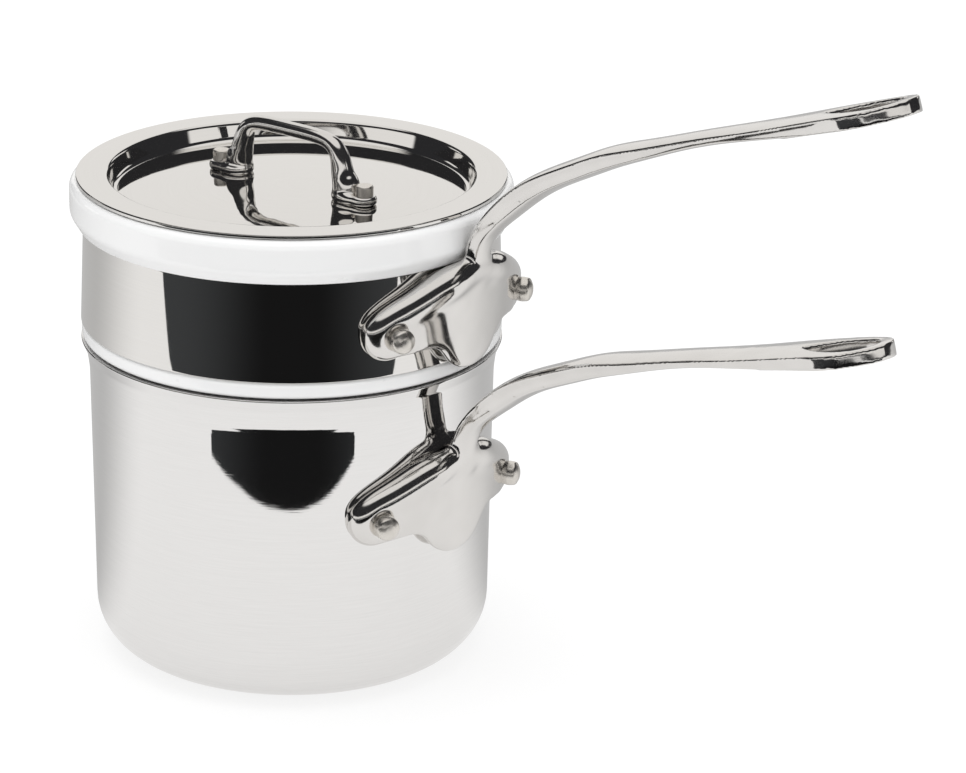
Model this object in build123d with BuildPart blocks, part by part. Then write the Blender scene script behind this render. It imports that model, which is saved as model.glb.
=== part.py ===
"""Double boiler: a small steel saucepan, a porcelain insert in a steel collar, and a lid.

Millimetres, Z up. The origin is the centre of the pan's flat base, and +X runs along the
pan's handle. The insert with its collar lifts out of the pan, and the lid lifts off the insert.
"""
import os
from math import atan, cos, degrees, radians, sin, sqrt

from build123d import *

os.makedirs("parts", exist_ok=True)

# Pan: a plain pressed pan with a small pouring flare at its rim
pot_radius = 60.0
pot_foot_inset = 1.2
pot_height = 97.4
pot_wall = 2.6
pot_corner = 16.0
pot_flare = 2.4
pot_flare_height = 3.8
pot_flare_bend = 5.0

# Fits between pieces
lift_gap = 0.3
seat_gap = 0.1
shank_gap = 0.1
cut_overrun = 5.0

# Porcelain insert: a straight vessel that hangs in the pan by its lower bead
insert_depth = 69.7
insert_gap = 4.9
insert_wall = 4.3
insert_corner = 14.0
neck_gap = 1.0
insert_neck_height = 8.0
insert_neck_taper = 8.0
neck_bend_share = 0.5
bead_overhang = 2.0
bead_height = 5.0
bead_rounding = 1.6
bead_top_rounding = 0.6
rim_overhang = 3.8
rim_height = 13.2
rim_top_rounding = 2.6
rim_low_rounding = 4.0
rim_step = 1.4
rim_thickness = 9.0
mouth_depth = 9.0
mouth_taper = 4.0
mouth_rounding = 2.4
mouth_ledge = 4.3
groove_depth = 3.0
groove_land = 3.0

# Collar: a polished band round the insert, a little wider at its foot
collar_step = 0.2
collar_taper = 1.1
collar_height = 29.2
collar_wall = 1.0

# Lid: a flat flange round a shallow well with a slightly domed floor
lid_inset = 1.9
lid_wall = 1.2
lid_edge_share = 0.4
well_gap = 0.8
well_depth = 5.9
well_slope = 1.6
well_rounding = 1.8
lid_shoulder = 1.0
floor_dome = 1.6

# Cast handles: two riveted wings, a web between them and a long stem
pot_rivet_drop = 38.4
collar_rivet_rise = 12.7
rivet_angle = 25.2
stem_reach = 147.8
stem_rise = 81.8
stem_half_width = 11.0
stem_depth = 5.8
stem_crown = 1.2
collar_handle_turn = 2.8

# Wings: a rounded pad at each rivet and a raised arm from it up to the neck
pad_angle = 27.0
pad_radius = 7.4
pad_face = 5.6
pad_rounding = 3.8
pad_root = 4.0
arm_half_width = 5.3
arm_half_height = 5.6
arm_rise = 20.0
arm_lift = 7.7

# Web: the plate between the arms, which stands a little clear of the wall
web_drop = 15.0
web_half_width = 27.0
web_top = 22.0
web_gap = 2.0
web_neck_gap = 5.6
web_face = 5.7
web_tip_face = 4.4
web_neck_face = 8.6

# Relief behind the neck, where the collar's handle passes the porcelain rim
relief_foot = 15.0
relief_top = 19.4
relief_step = 4.4

# Flat rounded head of the paddle end of each stem and its hanging hole
head_length = 18.0
head_back = 21.0
head_root_half_width = 6.5
head_thickness = 3.9
hole_half_width = 6.2
hole_length = 24.0
hole_edge = 4.0
hole_taper_share = 0.72

# Handle rivets
rivet_shank_radius = 2.5
rivet_head_radius = 3.65
rivet_head_height = 3.6
rivet_head_dome = 1.2
rivet_inner_radius = 4.6
rivet_inner_height = 1.8
spot_gap = 0.3

# Lid handle: a small arched bail on two lugs
bail_height = 18.5
bail_half_span = 27.7
bail_half_depth = 2.3
bail_half_thickness = 1.95
lug_length = 14.0
lug_width = 7.8
lug_height = 2.2
lug_rounding = 0.7
lug_offset = 3.6
lid_rivet_radius = 2.6
lid_rivet_shank = 1.9
lid_rivet_height = 3.6
lid_rivet_edge = 0.5
lid_rivet_under_height = 1.4

# Heights that follow from the sizes above
pot_rivet_height = pot_height - pot_rivet_drop
bead_foot = pot_height + lift_gap
insert_foot = bead_foot - insert_depth
bead_top = bead_foot + bead_height
collar_foot = bead_top + seat_gap
collar_top = collar_foot + collar_height
collar_rivet_height = collar_foot + collar_rivet_rise
rim_foot = collar_top + seat_gap
rim_top = rim_foot + rim_height
flange_under = rim_top + lift_gap
flange_top = flange_under + lid_wall
floor_edge = flange_top - well_depth
floor_top = floor_edge + floor_dome

# Radii that follow from the sizes above
pot_foot_radius = pot_radius - pot_foot_inset
pot_inner_radius = pot_radius - pot_wall
insert_radius = pot_inner_radius - insert_gap
insert_neck_radius = pot_inner_radius - neck_gap
bead_radius = pot_radius + bead_overhang
collar_foot_radius = bead_radius + collar_step
collar_top_radius = collar_foot_radius - collar_taper
rim_radius = collar_top_radius + rim_overhang
mouth_radius = rim_radius - rim_thickness
throat_radius = mouth_radius - mouth_ledge
lid_radius = rim_radius - lid_inset
well_radius = mouth_radius - lid_wall - well_gap
floor_radius = well_radius - well_slope
collar_inner_foot = collar_foot_radius - collar_wall
collar_inner_top = collar_top_radius - collar_wall
groove_radius = collar_inner_top - groove_depth
pot_lean = (pot_radius - pot_foot_radius) / (pot_height - pot_flare_height)
collar_lean = (collar_top_radius - collar_foot_radius) / collar_height


def pot_wall_at(height):
    """Outer radius of the pan's leaning wall at a height."""
    return pot_foot_radius + pot_lean * height


def collar_wall_at(height):
    """Outer radius of the leaning collar at a height."""
    return collar_foot_radius + collar_lean * (height - collar_foot)


def round_corner(profile, corner, radius):
    """Round the corner of a flat profile that lies nearest to a point."""
    fillet(profile.vertices().sort_by_distance(corner)[0], radius)


# Stations of the stem from its root in the web out past the paddle's end: shares of its
# reach and rise, its slope in degrees, and shares of its half width, depth and crown
stem_shares = [
    (0.024, 0.105, 86.0, 0.59, 0.48, 0.30),
    (0.032, 0.218, 76.0, 0.51, 0.66, 0.50),
    (0.051, 0.314, 67.0, 0.55, 0.76, 0.67),
    (0.087, 0.395, 50.0, 0.60, 0.90, 0.80),
    (0.149, 0.494, 35.5, 0.65, 1.00, 1.00),
    (0.217, 0.567, 27.0, 0.69, 0.93, 1.00),
    (0.298, 0.632, 22.2, 0.73, 0.90, 1.00),
    (0.379, 0.688, 18.1, 0.76, 0.83, 1.00),
    (0.474, 0.734, 15.2, 0.77, 0.62, 1.00),
    (0.582, 0.788, 15.0, 0.77, 0.50, 1.00),
    (0.690, 0.840, 15.8, 0.85, 0.59, 0.90),
    (0.798, 0.897, 16.2, 0.96, 0.78, 0.60),
    (0.886, 0.942, 16.0, 0.99, 0.76, 0.40),
    (0.954, 0.977, 15.7, 0.99, 0.70, 0.30),
    (1.035, 1.018, 15.7, 0.99, 0.66, 0.25),
]
belly_side_share = 0.8
belly_drop_share = 0.7
inner_edge_share = 0.3

# Stations of an arm: degrees from the handle's plane, shares of the arm's lift off the
# wall and of its rise over the rivets, and shares of its half width and half height
arm_shares = [
    (32.6, 0.14, 0.00, 0.45, 0.50),
    (30.4, 0.20, 0.08, 0.82, 0.80),
    (26.5, 0.22, 0.19, 1.00, 0.88),
    (19.5, 0.26, 0.37, 1.00, 0.94),
    (12.9, 0.36, 0.53, 1.00, 0.96),
    (7.9, 0.50, 0.64, 0.94, 0.88),
    (3.0, 0.62, 0.72, 0.80, 0.66),
]

# Half outline of the web from the tip of its lobe round to the neck, as shares of its
# half width and of its drop below the rivets
web_lobe_shares = [(0.0, -1.0), (0.24, -0.91), (0.43, -0.62)]
web_notch_shares = [(0.43, -0.62), (0.55, -0.42), (0.74, -0.38)]
web_edge_shares = [(0.74, -0.38), (1.0, -0.42), (1.0, 0.18), (0.8, 0.5), (0.53, 0.74)]
web_neck_share = 0.14
web_neck_foot_share = 0.8
web_knee_share = 0.5

# Half outline of the paddle's head: shares of its length back from the tip and of its half width
head_shares = [(-1.0, 1.0), (-0.5, 0.88), (-0.18, 0.6)]


def frame_point(base, reach, side, rise):
    """A point given by its reach from the axis, its side step and its rise."""
    return base.from_local_coords((reach, side, rise))


def slanted_plane(base, reach, rise, slope):
    """A section plane across the stem, its X axis to the side and its Z axis along the stem."""
    along = base.x_dir * cos(radians(slope)) + base.z_dir * sin(radians(slope))
    return Plane(origin=frame_point(base, reach, 0, rise), x_dir=base.y_dir, z_dir=along)


def radial_direction(base, angle):
    """The outward direction at an angle from the handle's own plane."""
    return base.x_dir * cos(radians(angle)) + base.y_dir * sin(radians(angle))


def radial_plane(base, angle, reach):
    """A plane square to the outward direction at an angle, its X axis upward."""
    outward = radial_direction(base, angle)
    return Plane(origin=base.origin + outward * reach, x_dir=base.z_dir, z_dir=outward)


def tilted(seat, step, rise, tilt):
    """A point of the stem, given from its rivets, turned upward round them by the tilt."""
    turn = radians(tilt)
    return seat + step * cos(turn) - rise * sin(turn), step * sin(turn) + rise * cos(turn)


def stem_section(plane, half_width, depth, crown):
    """A section of the stem: a crowned top, a crease along each edge and a rounded belly."""
    side, drop = half_width * belly_side_share, depth * belly_drop_share
    with BuildSketch(plane) as section:
        with BuildLine():
            top = ThreePointArc((-half_width, 0), (0, crown), (half_width, 0))
            Spline(
                top @ 1, (side, -drop), (0, -depth), (-side, -drop), top @ 0,
                tangents=[(-1, -1), (-1, 1)],
            )
        make_face()
    return section.sketch


def arm_sections(base, seat):
    """The oval sections of both arms, from the left pad over the neck to the right pad."""
    stations = [(-angle, *shares) for angle, *shares in arm_shares]
    stations += [(angle, *shares) for angle, *shares in reversed(arm_shares)]
    places = [
        base.origin
        + radial_direction(base, angle) * (seat + arm_lift * lift_share)
        + base.z_dir * (arm_rise * rise_share)
        for angle, lift_share, rise_share, _, _ in stations
    ]
    sections = []
    last = len(stations) - 1
    for station, (angle, _, _, width_share, height_share) in enumerate(stations):
        along = (places[min(station + 1, last)] - places[max(station - 1, 0)]).normalized()
        across = along.cross(radial_direction(base, angle))
        with BuildSketch(Plane(origin=places[station], x_dir=across, z_dir=along)) as section:
            Ellipse(arm_half_width * width_share, arm_half_height * height_share)
        sections.append(section.sketch)
    return sections


def web_places(shares):
    """Points of the web's outline."""
    return [(web_half_width * across, web_drop * up) for across, up in shares]


def stem_sections(base, seat, tilt):
    """The sections of the stem from its root in the web out past the paddle's end."""
    sections = []
    for reach_share, rise_share, slope, width_share, depth_share, crown_share in stem_shares:
        reach, rise = tilted(seat, stem_reach * reach_share, stem_rise * rise_share, tilt)
        sections.append(stem_section(
            slanted_plane(base, reach, rise, slope + tilt),
            stem_half_width * width_share,
            stem_depth * depth_share,
            stem_crown * crown_share,
        ))
    return sections


def cast_handle(base, seat, lean):
    """A cast handle on a wall of radius seat at its rivets; its stem follows the wall's lean."""
    tilt = degrees(atan(pot_lean) - atan(lean))
    axis = Axis(base.origin, base.z_dir)
    back_view = Plane(origin=base.origin, x_dir=-base.x_dir, z_dir=base.y_dir)
    front_view = Plane(origin=base.origin, x_dir=base.y_dir, z_dir=base.x_dir)
    with BuildPart() as casting:
        # The web: a curved plate turned round the pan's axis and cut to its outline
        with BuildSketch(back_view):
            with BuildLine():
                face = Spline(
                    (seat + web_tip_face, -web_drop - cut_overrun),
                    (seat + web_face, 0),
                    (seat + web_neck_face, web_top + cut_overrun),
                )
                Polyline(
                    face @ 1,
                    (seat + web_neck_gap, web_top + cut_overrun),
                    (seat + web_gap, web_top * web_knee_share),
                    (seat + web_gap, -web_drop - cut_overrun),
                    face @ 0,
                )
            make_face()
        revolve(axis=axis)
        with BuildSketch(front_view):
            with BuildLine():
                ThreePointArc(*web_places(web_lobe_shares))
                ThreePointArc(*web_places(web_notch_shares))
                neck = web_half_width * web_neck_share
                neck_foot = web_top * web_neck_foot_share
                Polyline(*web_places(web_edge_shares), (neck, neck_foot), (neck, web_top), (0, web_top))
                mirror(about=Plane.YZ)
            make_face()
        extrude(amount=seat + stem_reach, mode=Mode.INTERSECT)
        loft(stem_sections(base, seat, tilt))
        loft(arm_sections(base, seat))
        # A rounded pad at each rivet
        for side in (-1, 1):
            outward = radial_direction(base, side * pad_angle)
            pad_view = Plane(origin=base.origin, x_dir=outward, z_dir=base.z_dir)
            with BuildSketch(pad_view) as pad:
                with BuildLine():
                    Polyline((seat - pad_root, 0), (seat + pad_face, 0), (seat + pad_face, pad_radius),
                             (seat - pad_root, pad_radius), close=True)
                make_face()
                round_corner(pad, (seat + pad_face, pad_radius), pad_rounding)
            revolve(axis=Axis(base.origin, outward))
        # The wall's own shape, cut out of the back of the wings
        reach = pad_radius + web_top + cut_overrun
        with BuildSketch(back_view):
            with BuildLine():
                Polyline(
                    (0, -reach),
                    (seat + seat_gap - lean * reach, -reach),
                    (seat + seat_gap + lean * relief_foot, relief_foot),
                    (seat + relief_step, relief_top),
                    (seat + relief_step, reach),
                    (0, reach),
                    close=True,
                )
            make_face()
        revolve(axis=axis, mode=Mode.SUBTRACT)
        # Rivet holes, with a flat face milled round each
        add(rivet_bores(base, seat + pad_face + cut_overrun), mode=Mode.SUBTRACT)
        for side in (-1, 1):
            with BuildSketch(radial_plane(base, side * rivet_angle, seat + pad_face)):
                Circle(rivet_head_radius + spot_gap)
            extrude(amount=pad_root + cut_overrun, mode=Mode.SUBTRACT)
        # The round end of the paddle and its hanging hole
        tip = tilted(seat, stem_reach, stem_rise, tilt)
        tip_slope = stem_shares[-1][2] + tilt
        along = base.x_dir * cos(radians(tip_slope)) + base.z_dir * sin(radians(tip_slope))
        paddle = Plane(
            origin=frame_point(base, tip[0], 0, tip[1]), x_dir=along, z_dir=along.cross(base.y_dir)
        )
        clear = stem_half_width + cut_overrun
        side = [(head_length * back, stem_half_width * out) for back, out in head_shares]
        round_end = [*side, (0, 0), *[(back, -out) for back, out in reversed(side)]]
        root = -head_length - head_back
        with BuildSketch(paddle):
            with BuildLine():
                end = Spline(*round_end, tangents=[(1, 0), (-1, 0)])
                Polyline(end @ 1, (root, -head_root_half_width), (root, head_root_half_width), end @ 0)
            make_face()
        extrude(amount=-head_thickness)
        with BuildSketch(paddle):
            with BuildLine():
                end = Spline(*round_end, tangents=[(1, 0), (-1, 0)])
                Polyline(end @ 1, (-head_length, -clear), (stem_reach, -clear),
                         (stem_reach, clear), (-head_length, clear), end @ 0)
            make_face()
        extrude(amount=stem_depth + cut_overrun, both=True, mode=Mode.SUBTRACT)
        with BuildSketch(paddle):
            with BuildLine():
                wide = -hole_edge - hole_half_width
                ThreePointArc(
                    (-hole_edge - hole_length, 0),
                    (-hole_edge - hole_length * hole_taper_share, hole_half_width * hole_taper_share),
                    (wide, hole_half_width),
                )
                ThreePointArc((wide, hole_half_width), (-hole_edge, 0), (wide, -hole_half_width))
                ThreePointArc(
                    (wide, -hole_half_width),
                    (-hole_edge - hole_length * hole_taper_share, -hole_half_width * hole_taper_share),
                    (-hole_edge - hole_length, 0),
                )
            make_face()
        extrude(amount=stem_depth + cut_overrun, both=True, mode=Mode.SUBTRACT)
    return casting


def handle_rivet(base, side, seat, wall):
    """A rivet through a wing and the wall: a domed head outside and a low head inside."""
    outward = radial_direction(base, side * rivet_angle)
    view = Plane(origin=base.origin, x_dir=outward, z_dir=base.z_dir)
    inner_seat = sqrt((seat - wall) ** 2 - rivet_inner_radius**2) - seat_gap
    face = seat + pad_face
    crest = face + rivet_head_height
    with BuildPart() as rivet:
        with BuildSketch(view):
            with BuildLine():
                low = TangentArc(
                    (inner_seat - rivet_inner_height, 0),
                    (inner_seat - rivet_inner_height * inner_edge_share, rivet_inner_radius),
                    tangent=(0, 1),
                )
                body = Polyline(
                    low @ 1,
                    (inner_seat, rivet_inner_radius),
                    (inner_seat, rivet_shank_radius),
                    (face, rivet_shank_radius),
                    (face, rivet_head_radius),
                    (crest, rivet_head_radius),
                )
                high = TangentArc((crest + rivet_head_dome, 0), body @ 1, tangent=(0, 1))
                Line(high @ 0, low @ 0)
            make_face()
        revolve(axis=Axis(base.origin, outward))
    return rivet


def rivet_bores(base, reach):
    """The two radial bores for the rivets of a handle, as solids to cut away."""
    with BuildPart() as bores:
        for side in (-1, 1):
            with BuildSketch(radial_plane(base, side * rivet_angle, reach / 2)):
                Circle(rivet_shank_radius + shank_gap)
            extrude(amount=reach / 2)
    return bores.part


turn = radians(collar_handle_turn)
pot_frame = Plane(origin=(0, 0, pot_rivet_height), x_dir=(1, 0, 0), z_dir=(0, 0, 1))
collar_frame = Plane(origin=(0, 0, collar_rivet_height), x_dir=(cos(turn), sin(turn), 0), z_dir=(0, 0, 1))
pot_seat = pot_wall_at(pot_rivet_height)
collar_seat = collar_wall_at(collar_rivet_height)

# Pan body: the wall leans out a little, turns in at the foot and flares at the rim
with BuildPart() as pot_body:
    flare_start = pot_height - pot_flare_height
    with BuildSketch(Plane.XZ):
        with BuildLine():
            outside = FilletPolyline(
                (0, 0),
                (pot_foot_radius, 0),
                (pot_radius, flare_start),
                (pot_radius + pot_flare, pot_height),
                radius=[pot_corner, pot_flare_bend],
            )
            inside = FilletPolyline(
                (pot_radius + pot_flare - pot_wall, pot_height),
                (pot_radius - pot_wall, flare_start),
                (pot_foot_radius - pot_wall, pot_wall),
                (0, pot_wall),
                radius=[pot_flare_bend + pot_wall, pot_corner - pot_wall],
            )
            Line(outside @ 1, inside @ 0)
            Line(inside @ 1, outside @ 0)
        make_face()
    revolve(axis=Axis.Z)
    add(rivet_bores(pot_frame, pot_seat + cut_overrun), mode=Mode.SUBTRACT)

pot_handle = cast_handle(pot_frame, pot_seat, pot_lean)
pot_handle_rivet_left = handle_rivet(pot_frame, -1, pot_seat, pot_wall)
pot_handle_rivet_right = handle_rivet(pot_frame, 1, pot_seat, pot_wall)

# Porcelain insert: its bead rests on the pan's rim, its thick rolled rim carries the lid
with BuildPart() as porcelain_insert:
    neck_foot = bead_foot - insert_neck_height
    inner_floor = insert_foot + insert_wall
    land_foot = collar_foot + groove_land
    land_top = collar_top - groove_land
    with BuildSketch(Plane.XZ) as vessel:
        with BuildLine():
            outside = FilletPolyline(
                (0, insert_foot),
                (insert_radius, insert_foot),
                (insert_radius, neck_foot - insert_neck_taper),
                (insert_neck_radius, neck_foot),
                (insert_neck_radius, bead_foot),
                radius=[insert_corner, insert_neck_taper, insert_neck_taper * neck_bend_share],
            )
            band = Polyline(
                outside @ 1,
                (bead_radius, bead_foot),
                (bead_radius, bead_top),
                (collar_inner_foot - seat_gap, bead_top),
                (collar_inner_foot - seat_gap + collar_lean * groove_land, land_foot),
                (groove_radius, land_foot),
                (groove_radius, land_top),
                (collar_inner_top - seat_gap, land_top),
                (collar_inner_top - seat_gap, rim_foot),
                (collar_top_radius + rim_step, rim_foot),
                (rim_radius, rim_foot + rim_low_rounding),
                (rim_radius, rim_top),
                (mouth_radius, rim_top),
                (mouth_radius, rim_top - mouth_depth),
                (throat_radius, rim_top - mouth_depth - mouth_taper),
            )
            inside = FilletPolyline(
                band @ 1,
                (insert_radius - insert_wall, inner_floor),
                (0, inner_floor),
                radius=[insert_corner - insert_wall],
            )
            Line(inside @ 1, outside @ 0)
        make_face()
        round_corner(vessel, (bead_radius, bead_foot), bead_rounding)
        round_corner(vessel, (bead_radius, bead_top), bead_top_rounding)
        round_corner(vessel, (rim_radius, rim_foot + rim_low_rounding), rim_low_rounding)
        round_corner(vessel, (rim_radius, rim_top), rim_top_rounding)
        round_corner(vessel, (mouth_radius, rim_top), mouth_rounding)
    revolve(axis=Axis.Z)

# Steel collar: a band with the two rivet holes of its handle
with BuildPart() as collar:
    with BuildSketch(Plane.XZ):
        with BuildLine():
            Polyline(
                (collar_inner_foot, collar_foot),
                (collar_foot_radius, collar_foot),
                (collar_top_radius, collar_top),
                (collar_inner_top, collar_top),
                close=True,
            )
        make_face()
    revolve(axis=Axis.Z)
    add(rivet_bores(collar_frame, collar_seat + cut_overrun), mode=Mode.SUBTRACT)

collar_handle = cast_handle(collar_frame, collar_seat, collar_lean)
collar_handle_rivet_left = handle_rivet(collar_frame, -1, collar_seat, collar_wall)
collar_handle_rivet_right = handle_rivet(collar_frame, 1, collar_seat, collar_wall)

# Lid: the flange rests on the porcelain rim and the well hangs inside its mouth
with BuildPart() as lid:
    floor_under = floor_top - lid_wall
    with BuildSketch(Plane.XZ) as pressing:
        with BuildLine():
            dome = TangentArc((0, floor_top), (floor_radius, floor_edge), tangent=(1, 0))
            edge = Polyline(
                dome @ 1,
                (well_radius, flange_top),
                (lid_radius, flange_top),
                (lid_radius, flange_under),
                (well_radius + lid_wall, flange_under),
                (floor_radius + lid_wall, floor_edge - lid_wall),
            )
            under = TangentArc((0, floor_under), edge @ 1, tangent=(1, 0))
            Line(under @ 0, dome @ 0)
        make_face()
        round_corner(pressing, (floor_radius, floor_edge), well_rounding)
        round_corner(pressing, (floor_radius + lid_wall, floor_edge - lid_wall), well_rounding + lid_wall)
        round_corner(pressing, (well_radius, flange_top), lid_shoulder)
        round_corner(pressing, (lid_radius, flange_top), lid_wall * lid_edge_share)
    revolve(axis=Axis.Z)
    with BuildSketch(Plane.XY.offset(floor_edge - lid_wall)):
        with Locations((-bail_half_span, 0), (bail_half_span, 0)):
            Circle(lid_rivet_shank + shank_gap)
    extrude(amount=well_depth + cut_overrun, mode=Mode.SUBTRACT)

# Stations of half the bail: shares of its half span and height, its slope in degrees and
# shares of its half thickness and half depth, from the bar's straight part down to a lug
bail_shares = [
    (0.14, 0.90, 0.0, 1.00, 1.00),
    (0.38, 0.89, -4.0, 1.00, 1.00),
    (0.57, 0.82, -42.0, 1.10, 1.06),
    (0.66, 0.64, -70.0, 1.28, 1.14),
    (0.71, 0.36, -78.0, 1.45, 1.26),
    (0.75, 0.04, -72.0, 1.90, 1.55),
]


def bail_section(side, reach_share, rise_share, slope, thick_share, depth_share):
    """An oval section of the bail, square to its run from the left lug to the right one."""
    place = (side * bail_half_span * reach_share, 0, floor_top + bail_height * rise_share)
    along = (cos(radians(slope)), 0, side * sin(radians(slope)))
    with BuildSketch(Plane(origin=place, x_dir=(0, 1, 0), z_dir=along)) as section:
        Ellipse(bail_half_depth * depth_share, bail_half_thickness * thick_share)
    return section.sketch


# Lid handle: lugs on the lid's floor joined by the arch
with BuildPart() as lid_handle:
    lug_places = [(-bail_half_span + lug_offset, 0), (bail_half_span - lug_offset, 0)]
    with BuildSketch(Plane.XY.offset(floor_edge)):
        with Locations(*lug_places):
            SlotOverall(lug_length, lug_width)
    extrude(amount=floor_dome + lug_height)
    fillet(lid_handle.faces().sort_by(Axis.Z)[-2:].edges(), lug_rounding)
    loft([bail_section(-1, *station) for station in reversed(bail_shares)]
         + [bail_section(1, *station) for station in bail_shares])
    # The lid's domed floor, cut out of the lugs' undersides
    with BuildSketch(Plane.XZ):
        with BuildLine():
            crest = (0, floor_top + seat_gap)
            brim = (floor_radius, floor_edge + seat_gap)
            below = floor_edge - cut_overrun
            dome = TangentArc(crest, brim, tangent=(1, 0))
            Polyline(brim, (floor_radius, below), (0, below), crest)
        make_face()
    revolve(axis=Axis.Z, mode=Mode.SUBTRACT)
    for side in (-1, 1):
        with BuildSketch(Plane.XY.offset(floor_edge)):
            with Locations((side * bail_half_span, 0)):
                Circle(lid_rivet_shank + shank_gap)
        extrude(amount=bail_height, mode=Mode.SUBTRACT)
        with BuildSketch(Plane.XY.offset(floor_edge + floor_dome + lug_height)):
            with Locations((side * bail_half_span, 0)):
                Circle(lid_rivet_radius + spot_gap)
        extrude(amount=bail_height, mode=Mode.SUBTRACT)


def lid_rivet(side):
    """A flat-topped rivet through a lug and the lid's floor."""
    place = side * bail_half_span
    lug_top = floor_edge + floor_dome + lug_height
    head_top = lug_top + lid_rivet_height
    lowest = floor_edge + floor_dome * (1 - ((bail_half_span + lid_rivet_radius) / floor_radius) ** 2)
    under_seat = lowest - lid_wall - seat_gap
    with BuildPart() as rivet:
        with BuildSketch(Plane.XZ):
            with BuildLine():
                body = Polyline(
                    (place, under_seat - lid_rivet_under_height),
                    (place + lid_rivet_radius, under_seat - lid_rivet_under_height),
                    (place + lid_rivet_radius, under_seat),
                    (place + lid_rivet_shank, under_seat),
                    (place + lid_rivet_shank, lug_top),
                    (place + lid_rivet_radius, lug_top),
                    (place + lid_rivet_radius, head_top - lid_rivet_edge),
                    (place + lid_rivet_radius - lid_rivet_edge, head_top),
                    (place, head_top),
                    close=True,
                )
            make_face()
        revolve(axis=Axis((place, 0, 0), (0, 0, 1)))
    return rivet


lid_handle_rivet_left = lid_rivet(-1)
lid_handle_rivet_right = lid_rivet(1)

pieces = {
    "pot_body": pot_body,
    "pot_handle": pot_handle,
    "pot_handle_rivet_left": pot_handle_rivet_left,
    "pot_handle_rivet_right": pot_handle_rivet_right,
    "porcelain_insert": porcelain_insert,
    "collar": collar,
    "collar_handle": collar_handle,
    "collar_handle_rivet_left": collar_handle_rivet_left,
    "collar_handle_rivet_right": collar_handle_rivet_right,
    "lid": lid,
    "lid_handle": lid_handle,
    "lid_handle_rivet_left": lid_handle_rivet_left,
    "lid_handle_rivet_right": lid_handle_rivet_right,
}
for name, piece in pieces.items():
    piece.part.label = name
    export_step(piece.part, f"parts/{name}.step")
    print(name, "solids", len(piece.part.solids()), "volume", round(piece.part.volume))
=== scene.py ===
# %% [markdown]
# # A small double boiler
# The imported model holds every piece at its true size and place. This lesson dresses it: the
# turned pieces are made again with fine round walls, the castings are polished, and each
# piece gets its own metal or glaze. First the model is loaded as a fixed frame.

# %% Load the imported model
import math

import bmesh
import bpy
from mathutils import Matrix, Vector


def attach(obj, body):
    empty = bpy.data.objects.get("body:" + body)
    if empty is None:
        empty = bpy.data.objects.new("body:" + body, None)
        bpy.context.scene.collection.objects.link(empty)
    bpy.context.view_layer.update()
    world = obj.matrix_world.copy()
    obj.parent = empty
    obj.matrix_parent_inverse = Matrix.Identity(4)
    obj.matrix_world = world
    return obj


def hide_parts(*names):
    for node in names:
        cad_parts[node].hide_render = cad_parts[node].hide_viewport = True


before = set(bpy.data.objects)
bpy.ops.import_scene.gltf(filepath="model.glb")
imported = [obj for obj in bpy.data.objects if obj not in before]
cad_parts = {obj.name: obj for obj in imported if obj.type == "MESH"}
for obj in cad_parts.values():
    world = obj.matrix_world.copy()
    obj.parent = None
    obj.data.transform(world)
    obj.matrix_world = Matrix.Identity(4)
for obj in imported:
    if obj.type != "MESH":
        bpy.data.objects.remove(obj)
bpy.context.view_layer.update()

MM = 0.001
print("nodes", sorted(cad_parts))

# %% [markdown]
# The photograph was taken from about twenty degrees above the table with a long lens, so the
# lines of the pan hardly converge. A camera is nothing but a place, three directions and a
# focal length. They were found by fitting the rims, the bead and the foot, and are written
# down here as angles, because angles can be read and changed by hand.

# %% Camera
PHOTO_WIDTH = 966
FOCAL_PIXELS = 3843.0
CAMERA_TURN = math.radians(41.3)
CAMERA_RISE = math.radians(20.09)
CAMERA_DISTANCE = 1147.7 * MM
AIM_HEIGHT = 76.2 * MM
AIM_YAW = math.radians(3.02)
AIM_PITCH = math.radians(19.91)
CAMERA_ROLL = math.radians(0.95)
SENSOR = 36.0
NEAREST, FARTHEST = 0.05, 50

to_model = Matrix.Rotation(CAMERA_TURN, 3, "Z")


def seen_from_camera(x, y, z):
    """A direction or point given as right, away and up from the camera's side of the pan."""
    return to_model @ Vector((x, y, z))


camera_place = seen_from_camera(
    0,
    -math.cos(CAMERA_RISE) * CAMERA_DISTANCE,
    AIM_HEIGHT + math.sin(CAMERA_RISE) * CAMERA_DISTANCE,
)
forward = seen_from_camera(
    math.sin(AIM_YAW) * math.cos(AIM_PITCH),
    math.cos(AIM_YAW) * math.cos(AIM_PITCH),
    -math.sin(AIM_PITCH),
)
level_right = forward.cross(Vector((0, 0, 1))).normalized()
level_up = level_right.cross(forward)
right = level_right * math.cos(CAMERA_ROLL) + level_up * math.sin(CAMERA_ROLL)
up = level_up * math.cos(CAMERA_ROLL) - level_right * math.sin(CAMERA_ROLL)

camera = bpy.data.objects.new("camera", bpy.data.cameras.new("camera"))
bpy.context.scene.collection.objects.link(camera)
camera_axes = Matrix((right, up, -forward)).transposed().to_4x4()
camera.matrix_world = Matrix.Translation(camera_place) @ camera_axes
camera.data.sensor_width = SENSOR
camera.data.lens = FOCAL_PIXELS * SENSOR / PHOTO_WIDTH
camera.data.clip_start, camera.data.clip_end = NEAREST, FARTHEST
bpy.context.scene.camera = camera
bpy.context.scene.view_settings.view_transform = "Standard"
print("lens", round(camera.data.lens, 1), "place", [round(x, 4) for x in camera_place])

# %% [markdown]
# Three small helpers come before the first piece. Blender's operators act on whatever is
# selected, and a freshly loaded model is selected all over, so everything is let go first.
# A modifier is a recipe, and applying it turns the recipe into real mesh.

# %% Helpers for selecting and finishing
def select_only(piece):
    """Let everything go and take hold of one piece."""
    if bpy.context.object and bpy.context.object.mode != "OBJECT":
        bpy.ops.object.mode_set(mode="OBJECT")
    bpy.ops.object.select_all(action="DESELECT")
    if piece:
        piece.select_set(True)
        bpy.context.view_layer.objects.active = piece


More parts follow.
